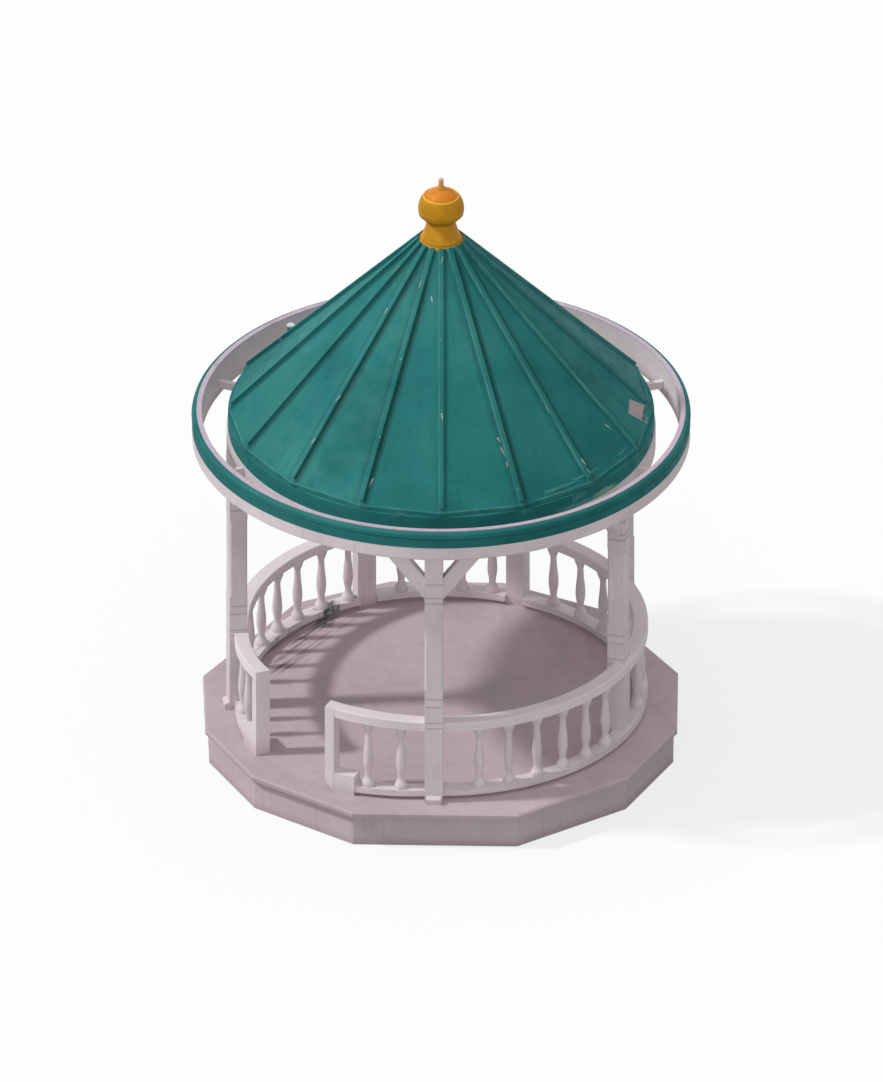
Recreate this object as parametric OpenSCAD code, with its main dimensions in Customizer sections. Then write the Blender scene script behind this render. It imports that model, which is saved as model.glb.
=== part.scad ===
// Round bandstand: a twelve-sided plinth, six posts with knee braces, a curved
// balustrade, a ring beam with an open hoop round it, and a sixteen-sided roof.
// Bearings are degrees from the front (-Y) towards +X. Heights named _z are over
// the floor of the stand; the origin is on the ground at the centre.

/* [Plan] */
// Inner radius of the hoop, from which all the rings inside it are set out
hoop_in_r = 2635; // [2400:5:2900]
// Open gap between the hoop and the ring beam
hoop_gap = 275; // [200:5:320]
// How far the ring beam reaches outside the posts' circle
beam_out = 105; // [101:1:125]
// How far the ring beam reaches inside the posts' circle
beam_in = 100; // [97:1:115]
// How far the rails' centreline lies inside the posts' circle
rail_in = 60; // [40:5:70]

/* [Plinth] */
// How far the corners of the lower course lie outside the posts' circle
course_out = 377; // [340:1:420]
// How far the middle of the lower course lies in front of the stand's
course_forward = 35; // [0:5:60]
// Height of the lower course
course_h = 390; // [150:10:450]
// How much longer the slab's corner radius is than the course's
slab_overhang = 44; // [20:4:90]
// How far the middle of the slab lies in front of the course's
slab_forward = 40; // [0:5:50]
// Thickness of the top slab
slab_h = 60; // [40:5:150]
// Bevel along the slab's top edge
slab_bevel = 20; // [5:1:35]

/* [Posts] */
// Side of a square post
post_w = 200; // [170:5:215]
// Height of the posts, floor to ring beam
post_h = 3200; // [2900:20:3600]
// Bevel on the posts' corners
post_bevel = 18; // [5:1:30]
// Plain length at each end of a corner bevel
post_bevel_stop = 130; // [60:10:200]
// Bearing of the left post
left_post = -85; // [-90:1:-80]
// Bearing of the front post
front_post = -2; // [-6:1:4]
// Bearing of the right post
right_post = 66.5; // [65:0.5:68]
// How far the right post stands inside the others' circle
right_post_in = 126; // [120:1:130]
// Bearing of the back right post
back_right_post = 118; // [114:1:122]
// Bearing of the back post
back_post = 158; // [154:1:162]
// Bearing of the back left post
back_left_post = 202; // [198:1:208]
// Turn of the left post away from its bearing
left_post_turn = 6; // [0:1:14]
// Turn of the right post away from its bearing
right_post_turn = 7.5; // [0:0.5:10]
// Distance between the two grooves of a pair round a post
groove_pair = 70; // [40:2:100]
// Depth of a pair's lower groove under the handrail's top or the brace's foot
groove_drop = 29; // [10:1:60]
// Height of the panel over the lower pair
low_panel_h = 200; // [120:5:260]
// Height of the panel over the upper pair
high_panel_h = 170; // [120:5:260]
// Height of the plain length over the lower panel
cap_panel_h = 100; // [60:5:160]
// Height of a groove cut round a post
groove_h = 14; // [6:1:24]
// Depth of a groove cut round a post
groove_d = 6; // [3:1:12]
// Width of the toe block outside a post's foot
toe_w = 160; // [100:5:180]
// How far the toe block stands out
toe_out = 50; // [20:5:90]
// Height of the toe block
toe_h = 90; // [50:5:140]

/* [Knee braces] */
// Height of a brace's lowest corner
brace_foot_z = 2560; // [2300:10:2650]
// Depth of a brace across its slope
brace_d = 160; // [90:5:180]
// Width of a brace, seen edge on
brace_w = 120; // [80:5:130]
// Slope of a brace
brace_slope = 53; // [50:1:60]

/* [Balustrade] */
// Width of the handrail
handrail_w = 165; // [140:5:180]
// Depth of the handrail
handrail_d = 106; // [80:2:130]
// Height of the handrail's top
handrail_z = 968; // [900:4:1100]
// Radius of the handrail's top corners
handrail_round = 14; // [6:1:30]
// Width of the base rail
base_rail_w = 160; // [150:5:180]
// Depth of the base rail
base_rail_d = 72; // [50:2:100]
// Gap under the base rail
base_rail_gap = 44; // [30:2:70]
// Radius of a baluster's foot
baluster_foot_r = 72; // [56:1:74]
// Radius of the neck over the foot
baluster_low_neck_r = 37; // [28:1:44]
// Radius of the belly
baluster_belly_r = 55; // [46:1:64]
// Radius of the upper neck
baluster_top_neck_r = 34; // [26:1:44]
// Radius of a baluster's head
baluster_head_r = 68; // [50:1:70]

/* [Entrance] */
// Arc of the short rail beside the front post
front_stub = 28.6; // [27:0.2:30]
// Arc of the short rail beside the left post
left_stub = 26.8; // [26:0.2:29]
// Outward turn of the short rails
stub_flare = 8; // [4:0.5:9]
// Upward slope of the short handrails
stub_lift = 4.6; // [0:0.2:6]
// Width of a newel, seen from outside
newel_w = 106; // [90:2:140]
// Depth of a newel, outside to inside
newel_d = 166; // [162:2:190]
// Width of the bevel at the front newel's foot
newel_bevel_w = 100; // [40:2:104]
// Height of the bevel at the front newel's foot
newel_bevel_h = 127; // [60:1:160]
// Length of the block at a newel's foot
newel_block_l = 240; // [150:10:260]
// Height of the block at a newel's foot
newel_block_h = 240; // [160:10:300]

/* [Ring beam] */
// Depth of the ring beam
beam_h = 293; // [260:1:330]
// Height of the ledge for the eaves band over the beam's underside
band_rise = 243; // [200:1:250]
// How far the eaves band lies inside the ring beam's outer face
band_in = 15; // [10:1:25]
// Thickness of the eaves band
band_t = 50; // [40:1:60]

/* [Hoop] */
// Thickness of the hoop's lining board
lining_t = 16; // [10:1:24]
// Height of the lining's bottom over the ring beam's underside
lining_drop = 55; // [30:5:100]
// Thickness of the pale fascia
fascia_t = 88; // [60:1:92]
// Bottom of the pale fascia over the ring beam's underside
fascia_rise = 112; // [100:2:150]
// Depth of the pale fascia
fascia_h = 143; // [120:1:180]
// Thickness of the moulding
moulding_t = 95; // [80:1:110]
// Depth of the moulding
moulding_h = 180; // [170:2:220]
// Rounding of the moulding's top edge
nose_r = 38; // [20:1:40]
// Radius of the moulding's bead
bead_r = 9; // [5:1:14]
// Height of the bead over the moulding's foot
bead_up = 128; // [126:2:132]
// Radius of the groove under the bead
cove_r = 9; // [5:1:12]
// Height of the groove over the moulding's foot
cove_up = 104; // [60:2:106]
// Width of the capping strip
lip_w = 56; // [40:2:70]
// Thickness of the capping strip
lip_h = 10; // [6:1:20]
// Width of a bracket that carries the hoop
bracket_w = 60; // [40:5:90]
// Depth of a bracket that carries the hoop
bracket_d = 85; // [60:5:110]
// Height of a bracket's underside over the ring beam's underside
bracket_rise = 145; // [120:5:150]
// Number of brackets that carry the hoop
brackets = 8; // [6:1:16]

/* [Roof] */
// Number of sides of the roof
roof_sides = 16; // [12:2:20]
// How far the corners of the eaves lie inside the eaves band's outer face
eaves_in = 2; // [0:1:10]
// Height of the roof's edge over the ring beam
eaves_rise = 172; // [150:2:200]
// Height of the roof from its edge to its point
roof_h = 2390; // [1800:1:2600]
// Thickness of the roof boards
board_t = 30; // [18:1:40]
// Width of a hip batten
batten_w = 50; // [30:2:70]
// Height of a hip batten over the hip
batten_h = 26; // [16:1:50]
// How far the battens' feet lie inside the corners of the eaves
batten_short = 43; // [10:1:120]
// Width of a rafter
rafter_w = 50; // [36:2:56]
// Depth of a rafter across its slope
rafter_d = 150; // [120:5:180]
// Corner radius of the boss at the rafters' heads
boss_r = 156; // [150:1:190]
// Depth of the boss under the rafters' lower edges
boss_drop = 40; // [20:2:80]
// Radius of the boss's spindle
spindle_r = 90; // [60:2:100]
// Radius of the small vent pipe
vent_r = 38; // [25:1:50]
// Height of the vent pipe over the roof
vent_h = 95; // [60:5:140]
// Distance of the vent pipe in from the corners of the eaves
vent_in = 353; // [250:1:800]
// Height of the vent pipe's cap
vent_cap_h = 18; // [10:1:30]
// How far the cap stands out round the vent pipe
vent_cap_out = 5; // [3:1:12]

/* [Finial] */
// Radius of the collar's lower edge
collar_r = 222; // [210:1:240]
// Radius of the collar's neck
neck_r = 156; // [140:1:170]
// Hollow of the collar's flare
collar_hollow = 7; // [3:1:14]
// Height of the ball's centre over the roof's point
ball_up = 145; // [120:1:190]
// Radius of the ball
ball_r = 254; // [235:1:265]
// Depth of the ball below its centre
ball_below = 158; // [140:1:170]
// Height of the ball's ring over its centre
ring_up = 156; // [140:1:165]
// Radius of the ring round the ball
ring_r = 189; // [180:1:195]
// Radius of the ring's bead
ring_bead_r = 9; // [6:1:12]
// Height of the cap over the ring
cap_h = 92; // [70:1:110]
// Height of the spike
spike_h = 130; // [100:2:200]
// Radius of the spike's tip
spike_r = 28; // [16:1:32]

/* [Fit] */
// Gap between curved or jointed pieces
clearance = 0.3; // [0.2:0.05:0.5]

/* [Hidden] */
$fn = 96;
big_fn = 360;           // sides of the great rings
small_fn = 32;          // sides of a small rounding

plinth_colour = [0.66, 0.60, 0.61];
pale_paint = [0.80, 0.76, 0.77];
green_paint = [0.15, 0.42, 0.40];
timber = [0.55, 0.47, 0.38];
gilding = [0.80, 0.58, 0.18];

full_turn = 360;        // degrees
floor_h = course_h + slab_h;
beam_out_r = hoop_in_r - hoop_gap;
post_r = beam_out_r - beam_out;             // circle through the posts' centres
beam_in_r = post_r - beam_in;
rail_r = post_r - rail_in;                  // centreline of the rails
course_r = post_r + course_out;
slab_r = course_r + slab_overhang;
// Bearings of the plinth's corners, which aren't evenly spaced
plinth_corners = [18.5, 50.5, 76, 103, 138, 165, 192, 217, 258.3, 284.3, 308.8, 338.5];
band_out_r = beam_out_r - band_in;
eaves_r = band_out_r - eaves_in;
batten_out = eaves_r - batten_short;
vent_dist = eaves_r - vent_in;
// Each post: its bearing, its turn away from it and its distance from the centre
left = [left_post, left_post_turn, post_r];
front = [front_post, 0, post_r];
right = [right_post, right_post_turn, post_r - right_post_in];
back_right = [back_right_post, 0, post_r];
back = [back_post, 0, post_r];
back_left = [back_left_post, 0, post_r];
left_again = [left_post + full_turn, left_post_turn, post_r];
posts = [left, front, right, back_right, back, back_left];
toed_posts = [left, front, back_right, back, back_left];
// Each whole bay: first post, second post, number of balusters, bearing of the
// first one and the step from one to the next
bays = [[front, right, 6, 11, 8.86], [right, back_right, 4, 79.3, 9.67],
        [back_right, back, 3, 125.7, 10], [back, back_left, 4, 165.1, 8.8],
        [back_left, left_again, 7, 207.8, 9.125]];
// Each short bay: its post, the way it runs, its arc and number of balusters
front_stub_bay = [front, -1, front_stub, 2];
left_stub_bay = [left, 1, left_stub, 2];
low_pair_z = handrail_z - groove_drop + groove_pair;
low_grooves = [low_pair_z - groove_pair, low_pair_z, low_pair_z + low_panel_h,
               low_pair_z + low_panel_h + cap_panel_h];
high_pair_z = brace_foot_z - groove_drop + groove_pair;
high_grooves = [high_pair_z - groove_pair, high_pair_z, high_pair_z + high_panel_h];

handrail_under = handrail_z - handrail_d;
handrail_cove_up = 24;  // height of the small groove along the handrail
handrail_cove_r = 5;
base_rail_top = base_rail_gap + base_rail_d;
overrun = 6;            // degrees a rail is drawn past its end before it is cut
reach = 3200;           // longer than any radius, for cutting blocks

beam_top = post_h + beam_h;
segments = 16;          // lengths in which the round timbers are made
lining_foot = post_h + lining_drop;
fascia_foot = post_h + fascia_rise;
moulding_foot = fascia_foot + fascia_h;
moulding_top = moulding_foot + moulding_h;
hoop_back_r = hoop_in_r + lining_t + clearance;
moulding_r = hoop_back_r + moulding_t;      // where the bead stands out to
moulding_face = moulding_r - bead_r / 2;
band_foot = post_h + band_rise;
band_in_r = band_out_r - band_t;

half_side = 180 / roof_sides;
side_step = full_turn / roof_sides;
eaves_z = beam_top + eaves_rise;
apex_z = eaves_z + roof_h;
hip_fall = roof_h / eaves_r;                // fall along a hip
face_fall = hip_fall / cos(half_side);      // fall down the middle of a face
hip_pitch = atan(hip_fall);
v_slope = sin(hip_pitch) * tan(half_side);  // of each side, square to the hip
board_drop = board_t / cos(atan(face_fall));
rafter_drop = rafter_d / cos(hip_pitch);
boards_in = spindle_r + 4;                  // boards stop at the spindle
rafter_end = sqrt(pow(band_in_r - clearance, 2) - pow(rafter_w / 2, 2));
ball_z = apex_z + ball_up;
ball_foot = ball_z - ball_below;
collar_edge_h = 14;                         // upright edge of the collar
batten_in = collar_r + collar_edge_h;       // battens stop clear of the collar
cap_r = ring_r - ring_bead_r - 2;
cap_flat_r = 52;                            // flat that the spike stands on
spike_margin = 4;                           // of the flat round the spike's foot
spike_swell = 6;                            // of the spike over its foot
spike_bevel = 8;                            // round the spike's tip
cap_curve = (cap_r * cap_r + cap_h * cap_h) / (2 * cap_h);
cap_centre = ring_up + cap_h - cap_curve;
cap_flat = cap_centre + sqrt(cap_curve * cap_curve - cap_flat_r * cap_flat_r);

// Height of a hip, and of the middle of a face, at a distance from the centre
function hip_z(r) = apex_z - hip_fall * r;
function face_z(d) = apex_z - face_fall * d;

// Radius of a baluster at a share of its height: smooth runs between five sizes
stations = [[0, baluster_foot_r], [0.03, baluster_foot_r], [0.16, baluster_low_neck_r],
            [0.38, baluster_belly_r], [0.80, baluster_top_neck_r],
            [0.97, baluster_head_r], [1, baluster_head_r]];
run_steps = 6;
function ease(u) = (1 - cos(180 * u)) / 2;
function vase_points(h) = [
    for (i = [0 : len(stations) - 2])
        for (j = [0 : run_steps - 1])
            let (u = j / run_steps, a = stations[i], b = stations[i + 1])
                if (j == 0 || a[1] != b[1])
                    [a[1] + (b[1] - a[1]) * ease(u), h * (a[0] + (b[0] - a[0]) * u)]
];

// Carries its children to the floor, turned to a bearing
module on_floor(bearing = 0)
    translate([0, 0, floor_h]) rotate([0, 0, bearing]) children();

// A profile in the Y-Z plane, drawn across the X axis
module across(w)
    rotate([90, 0, 90]) linear_extrude(w, center = true) children();

// Arc of a ring from one bearing to another, its profile given as radius, height
module arc(from, to)
    rotate([0, 0, from - 90]) rotate_extrude(angle = to - from, $fn = big_fn) children();

// A ring in separate lengths with open joints
module ring_lengths(r)
    let (joint = clearance / r * 180 / PI)
        for (k = [0 : segments - 1])
            arc(full_turn / segments * (k - 0.5) + joint / 2,
                full_turn / segments * (k + 0.5) - joint / 2) children();

// ---- plinth ----

module plinth_prism(r, h)
    linear_extrude(h) polygon([for (b = plinth_corners) r * [sin(b), -cos(b)]]);

module plinth_course()
    color(plinth_colour) translate([0, -course_forward, 0])
        plinth_prism(course_r, course_h);

// Wedge taken off the top edge between two corners of the slab
module slab_edge_cut(from, to)
    rotate([0, 0, (from + to) / 2])
        translate([0, -slab_r * cos((to - from) / 2), slab_h])
            across(slab_r)
                polygon([[-1, -slab_bevel - 1], [-1, 1], [slab_bevel + 1, 1]]);

module plinth_slab()
    color(plinth_colour) translate([0, -course_forward - slab_forward, course_h])
        difference() {
            plinth_prism(slab_r, slab_h);
            for (k = [1 : len(plinth_corners) - 1])
                slab_edge_cut(plinth_corners[k - 1], plinth_corners[k]);
            slab_edge_cut(plinth_corners[len(plinth_corners) - 1],
                          plinth_corners[0] + full_turn);
        }

// ---- posts ----

module post_groove(z)
    translate([0, 0, z]) difference() {
        cube([post_w + 2, post_w + 2, groove_h], center = true);
        cube([post_w - 2 * groove_d, post_w - 2 * groove_d, groove_h + 2], center = true);
    }

module post_corner_bevels(from, to)
    for (turn = [0 : 90 : 270])
        rotate([0, 0, turn]) translate([post_w / 2, post_w / 2, from])
            rotate([0, 0, 45])
                translate([-post_bevel / sqrt(2), -post_w / 2, 0])
                    cube([post_w, post_w, to - from]);

// Carries its children to a post's foot, turned as the post is
module at_post(post)
    on_floor(post[0]) translate([0, -post[2], 0]) rotate([0, 0, post[1]]) children();

module post(which)
    color(pale_paint) at_post(which) difference() {
        translate([-post_w / 2, -post_w / 2, 0]) cube([post_w, post_w, post_h]);
        for (z = concat(low_grooves, high_grooves)) post_groove(z);
        post_corner_bevels(max(low_grooves) + post_bevel_stop,
                           min(high_grooves) - post_bevel_stop);
    }

module post_toes()
    color(pale_paint)
        for (which = toed_posts)
            at_post(which) translate([0, -post_w / 2, 0])
                across(toe_w)
                    polygon([[0, 0], [-toe_out, 0], [-toe_out, toe_h * 0.7], [0, toe_h]]);

// A brace from the middle of the post up to the beam's underside
module knee_brace()
    let (foot = brace_foot_z - post_w / 2 * tan(brace_slope),
         low = (post_h - foot) / tan(brace_slope),
         up = brace_d / cos(brace_slope),
         high = (post_h - foot - up) / tan(brace_slope))
        translate([0, brace_w / 2, 0]) rotate([90, 0, 0]) linear_extrude(brace_w)
            polygon([[0, foot], [low, post_h], [high, post_h], [0, foot + up]]);

module knee_braces()
    color(pale_paint)
        for (which = posts)
            on_floor(which[0]) translate([0, -which[2], 0]) difference() {
                for (side = [0, 1]) mirror([side, 0, 0]) knee_brace();
                rotate([0, 0, which[1]]) translate([-post_w / 2, -post_w / 2, 0])
                    cube([post_w, post_w, 2 * post_h]);
            }

// ---- balustrade ----

module handrail_profile()
    translate([rail_r, handrail_under]) difference() {
        union() {
            translate([-handrail_w / 2, 0]) square([handrail_w, handrail_d - handrail_round]);
            translate([-handrail_w / 2 + handrail_round, 0])
                square([handrail_w - 2 * handrail_round, handrail_d]);
            for (s = [-1, 1])
                translate([s * (handrail_w / 2 - handrail_round),
                           handrail_d - handrail_round])
                    circle(r = handrail_round, $fn = small_fn);
        }
        for (s = [-1, 1])
            translate([s * handrail_w / 2, handrail_cove_up])
                circle(r = handrail_cove_r, $fn = small_fn);
    }

module base_rail_profile()
    translate([rail_r - base_rail_w / 2, base_rail_gap])
        square([base_rail_w, base_rail_d]);

// Blocks that cut a rail at the side of a post: all that lies before or after it
module cut_at_post(post, side)
    at_post(post) mirror([side > 0 ? 0 : 1, 0, 0])
        translate([-reach + post_w / 2, -reach / 2, -1])
            cube([reach, reach, handrail_z * 2]);

// The strip that a post takes out of a rail that meets it, or, where the post
// stands inside the rail, the notch it takes out of the rail's inner side
module cut_at_post_band(post)
    let (inside = post[2] < post_r, outer = inside ? post_w / 2 : reach / 4)
        at_post(post) translate([-post_w / 2, -outer, -1])
            cube([post_w, outer + reach / 4, handrail_z * 2]);

module whole_bay_rail(bay)
    difference() {
        on_floor() arc(bay[0][0], bay[1][0]) children();
        cut_at_post_band(bay[0]);
        cut_at_post_band(bay[1]);
    }

module baluster(h)
    rotate_extrude($fn = 48)
        polygon(concat([[0, 0]], vase_points(h), [[baluster_head_r, h], [0, h]]));

module whole_bay_balusters(bay)
    color(pale_paint)
        for (i = [1 : bay[2]])
            on_floor(bay[3] + (i - 1) * bay[4])
                translate([0, -rail_r, base_rail_top])
                    baluster(handrail_under - base_rail_top);

module handrail(bay)
    color(pale_paint) whole_bay_rail(bay) handrail_profile();

// ---- short bays beside the entrance ----

// Frame of a short bay: X runs from the post along the rail, -Y is outwards
module stub_frame(bay)
    on_floor(bay[0][0]) translate([0, -rail_r, 0])
        mirror([bay[1] > 0 ? 0 : 1, 0, 0]) rotate([0, 0, -stub_flare]) children();

module stub_arc(bay)
    translate([0, rail_r, 0]) arc(-overrun, bay[2] + overrun) children();

// Turns the level rail up about the post, so that the newel end is higher
module lifted()
    translate([0, 0, handrail_under]) rotate([0, -stub_lift, 0])
        translate([0, 0, -handrail_under]) children();

// Frame of the newel: X = 0 is the face that the rails meet
module newel_frame(bay)
    stub_frame(bay)
        translate([rail_r * sin(bay[2]), rail_r * (1 - cos(bay[2])), 0])
            rotate([0, 0, bay[2]]) children();

module cut_past_newel(bay, back = 0)
    newel_frame(bay) translate([-back, -reach / 2, -1])
        cube([reach / 2, reach, handrail_z * 2]);

module handrail_stub(bay)
    color(pale_paint) difference() {
        stub_frame(bay) lifted() stub_arc(bay) handrail_profile();
        cut_at_post(bay[0], bay[1]);
        cut_past_newel(bay);
    }

module base_rail_stub(bay)
    difference() {
        stub_frame(bay) stub_arc(bay) base_rail_profile();
        cut_at_post(bay[0], bay[1]);
        cut_past_newel(bay, newel_block_l);
    }

module base_rails()
    color(pale_paint) {
        for (bay = bays) whole_bay_rail(bay) base_rail_profile();
        base_rail_stub(front_stub_bay);
        base_rail_stub(left_stub_bay);
    }

module stub_balusters(bay)
    color(pale_paint) difference() {
        stub_frame(bay) translate([0, rail_r, 0])
            for (i = [1 : bay[3]])
                let (along = bay[2] * i / (bay[3] + 1),
                     rise = rail_r * sin(along) * tan(stub_lift))
                    rotate([0, 0, along]) translate([0, -rail_r, base_rail_top])
                        baluster(handrail_under - base_rail_top + rise
                                 + baluster_head_r * tan(stub_lift));
        stub_frame(bay) lifted() translate([-reach / 2, -reach / 2, handrail_under])
            cube([reach, reach, handrail_z]);
    }

module newel(bay, bevel_w = 0)
    color(pale_paint) difference() {
        newel_frame(bay) {
            translate([0, -newel_d / 2, 0]) cube([newel_w, newel_d, handrail_z * 1.5]);
            translate([-newel_block_l, -base_rail_w / 2, 0])
                cube([newel_block_l + 1, base_rail_w, newel_block_h]);
        }
        stub_frame(bay) lifted() translate([-reach / 2, -reach / 2, handrail_z])
            cube([reach, reach, handrail_z * 2]);
        if (bevel_w > 0)
            newel_frame(bay) translate([newel_w, newel_d, 0])
                rotate([90, 0, 0]) linear_extrude(2 * newel_d)
                    polygon([[-bevel_w, 0], [0, newel_bevel_h], [1, newel_bevel_h],
                             [1, -1], [-bevel_w, -1]]);
    }

// ---- ring beam and hoop ----

module ring_beam()
    let (ledge_r = band_in_r - clearance)
        color(pale_paint) on_floor() ring_lengths(beam_out_r)
            polygon([[beam_in_r, post_h], [beam_out_r, post_h],
                     [beam_out_r, band_foot], [ledge_r, band_foot],
                     [ledge_r, beam_top], [beam_in_r, beam_top]]);

// The green band round the eaves: it stands on the beam's ledge, under the boards
module eaves_band()
    color(green_paint) on_floor() ring_lengths(band_out_r)
        translate([band_in_r, band_foot])
            square([band_t, hip_z(band_out_r) - board_drop - clearance - band_foot]);

module hoop_brackets()
    color(pale_paint) on_floor() difference() {
        intersection() {
            for (k = [0 : brackets - 1])
                rotate([0, 0, full_turn / brackets * (k + 0.5)])
                    translate([-bracket_w / 2, -hoop_in_r, post_h + bracket_rise])
                        cube([bracket_w, hoop_in_r - beam_in_r, bracket_d]);
            cylinder(h = apex_z, r = hoop_in_r - clearance, $fn = big_fn);
        }
        cylinder(h = apex_z, r = beam_out_r + clearance, $fn = big_fn);
    }

module hoop_lining()
    color(pale_paint) on_floor() ring_lengths(hoop_in_r)
        translate([hoop_in_r, lining_foot])
            square([lining_t, moulding_top - lining_foot]);

module hoop_fascia()
    color(pale_paint) on_floor() ring_lengths(hoop_in_r)
        translate([hoop_back_r, fascia_foot])
            square([fascia_t, fascia_h]);

module hoop_moulding()
    color(green_paint) on_floor() ring_lengths(hoop_in_r)
        difference() {
            union() {
                translate([hoop_back_r, moulding_foot])
                    square([moulding_face - hoop_back_r, moulding_h - nose_r]);
                translate([hoop_back_r, moulding_foot])
                    square([moulding_face - nose_r - hoop_back_r, moulding_h]);
                translate([moulding_face - nose_r, moulding_top - nose_r])
                    circle(r = nose_r);
                translate([moulding_r - bead_r, moulding_foot + bead_up])
                    circle(r = bead_r, $fn = small_fn);
            }
            translate([moulding_face, moulding_foot + cove_up])
                circle(r = cove_r, $fn = small_fn);
        }

module hoop_lip()
    color([0.69, 0.62, 0.68]) on_floor() ring_lengths(hoop_in_r)
        translate([hoop_in_r, moulding_top])
            square([lip_w, lip_h]);

// ---- roof ----

// One side of the roof in plan, its middle along -Y, drawn in by half a joint
module side_sector(joint)
    translate([0, -joint / 2 / sin(half_side), 0])
        linear_extrude(apex_z + 1)
            polygon([[0, 0], [-reach * tan(half_side), -reach],
                     [reach * tan(half_side), -reach]]);

module each_side()
    for (k = [0 : roof_sides - 1]) rotate([0, 0, side_step * (k + 0.5)]) children();

module each_hip()
    for (k = [0 : roof_sides - 1]) rotate([0, 0, side_step * k]) children();

module roof_boards()
    color(green_paint) on_floor() each_side()
        intersection() {
            side_sector(clearance);
            across(reach)
                let (out = eaves_r * cos(half_side), in = boards_in)
                    polygon([[-out, face_z(out)], [-in, face_z(in)],
                             [-in, face_z(in) - board_drop],
                             [-out, face_z(out) - board_drop]]);
        }

// A section carried down a hip: its X lies across the hip, its Y square to the slope
module down_hip(top_r, foot_r)
    translate([0, -top_r, hip_z(top_r)]) rotate([90 + hip_pitch, 0, 0])
        linear_extrude((foot_r - top_r) / cos(hip_pitch)) children();

// Section of a stick that meets the two sides of the roof in a shallow V
module ridged_section(w, v_at, flat_at)
    polygon([[0, v_at], [w / 2, v_at - w / 2 * v_slope], [w / 2, flat_at],
             [-w / 2, flat_at], [-w / 2, v_at - w / 2 * v_slope]]);

module roof_battens()
    color(green_paint) on_floor() each_hip() down_hip(batten_in, batten_out)
        ridged_section(batten_w, 0, batten_h);

// Plan of a regular figure with corners at the hips
module hip_figure(r)
    polygon([for (k = [0 : roof_sides - 1])
        r * [sin(side_step * k), -cos(side_step * k)]]);

module rafter()
    let (under_boards = -board_drop * cos(hip_pitch))
        intersection() {
            down_hip(1, eaves_r + 2 * rafter_d)
                ridged_section(rafter_w, under_boards, under_boards - rafter_d);
            // plumb cuts at the boss and the eaves band, level seat on the beam
            translate([-rafter_w, -rafter_end, beam_top])
                cube([2 * rafter_w, rafter_end - boss_r * cos(half_side), roof_h]);
        }

module rafters()
    color(timber) on_floor() each_hip() rafter();

module roof_boss()
    let (head = hip_z(boss_r) - board_drop - 2,
         foot = hip_z(boss_r) - board_drop - rafter_drop - boss_drop)
        color(timber) on_floor() translate([0, 0, foot]) {
            rotate([0, 0, half_side]) linear_extrude(head - foot) hip_figure(boss_r);
            cylinder(h = ball_foot - foot, r = spindle_r);
        }

module roof_vent()
    let (bearing = side_step * 10.5, z = face_z(vent_dist))
        color(green_paint) on_floor(bearing) difference() {
            translate([0, -vent_dist, z - vent_r * 2]) {
                cylinder(h = vent_h + vent_r * 2, r = vent_r);
                translate([0, 0, vent_h + vent_r * 2 - vent_cap_h])
                    cylinder(h = vent_cap_h, r = vent_r + vent_cap_out);
            }
            across(reach)
                let (far = vent_dist + 3 * vent_r, near = vent_dist - 3 * vent_r)
                    polygon([[-far, face_z(far)], [-near, face_z(near)],
                             [-near, 0], [-far, 0]]);
        }

// ---- finial ----

module finial_collar()
    let (edge = hip_z(collar_r) + clearance, bore = spindle_r + clearance,
         low = [collar_r, edge + collar_edge_h], high = [neck_r, ball_foot],
         chord = norm(high - low),
         sweep_r = (chord * chord / 4 + collar_hollow * collar_hollow)
                   / (2 * collar_hollow),
         out = [high[1] - low[1], low[0] - high[0]] / chord)
        color(gilding) on_floor() rotate_extrude()
            difference() {
                polygon([[bore, hip_z(bore) + clearance], [collar_r, edge], low, high,
                         [bore, ball_foot]]);
                // hollow sweep from the neck to the edge
                translate((low + high) / 2 + out * (sweep_r - collar_hollow))
                    circle(r = sweep_r, $fn = big_fn);
            }

module finial_ball()
    color(gilding) on_floor() translate([0, 0, ball_z]) rotate_extrude()
        intersection() {
            union() {
                intersection() {
                    circle(r = ball_r);
                    polygon([[0, -ball_below], [neck_r, -ball_below],
                             [ball_r, -ball_below * 0.35], [ball_r, ring_up],
                             [0, ring_up]]);
                }
                translate([ring_r, ring_up]) circle(r = ring_bead_r);
            }
            translate([0, -ball_r]) square([ball_r, 2 * ball_r]);
        }

module finial_cap()
    color([0.84, 0.50, 0.15]) on_floor() translate([0, 0, ball_z]) rotate_extrude()
        intersection() {
            translate([0, cap_centre]) circle(r = cap_curve);
            translate([0, ring_up]) square([cap_r, cap_flat - ring_up]);
        }

module finial_spike()
    color(gilding) on_floor() translate([0, 0, ball_z + cap_flat]) rotate_extrude($fn = 48)
        polygon([[0, 0], [cap_flat_r - spike_margin, 0],
                 [spike_r + spike_swell, spike_h * 0.28], [spike_r, spike_h * 0.45],
                 [spike_r, spike_h - spike_bevel], [spike_r - spike_bevel, spike_h],
                 [0, spike_h]]);

plinth_course();
plinth_slab();
post(left);  // post_left
post(front);  // post_front
post(right);  // post_right
post(back_right);  // post_back_right
post(back);  // post_back
post(back_left);  // post_back_left
post_toes();
knee_braces();
handrail(bays[0]);  // handrail_front_right
handrail(bays[1]);  // handrail_right
handrail(bays[2]);  // handrail_back_right
handrail(bays[3]);  // handrail_back
handrail(bays[4]);  // handrail_left
handrail_stub(front_stub_bay);  // handrail_front_stub
handrail_stub(left_stub_bay);  // handrail_left_stub
base_rails();
whole_bay_balusters(bays[0]);  // balusters_front_right
whole_bay_balusters(bays[1]);  // balusters_right
whole_bay_balusters(bays[2]);  // balusters_back_right
whole_bay_balusters(bays[3]);  // balusters_back
whole_bay_balusters(bays[4]);  // balusters_left
stub_balusters(front_stub_bay);  // balusters_front_stub
stub_balusters(left_stub_bay);  // balusters_left_stub
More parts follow.
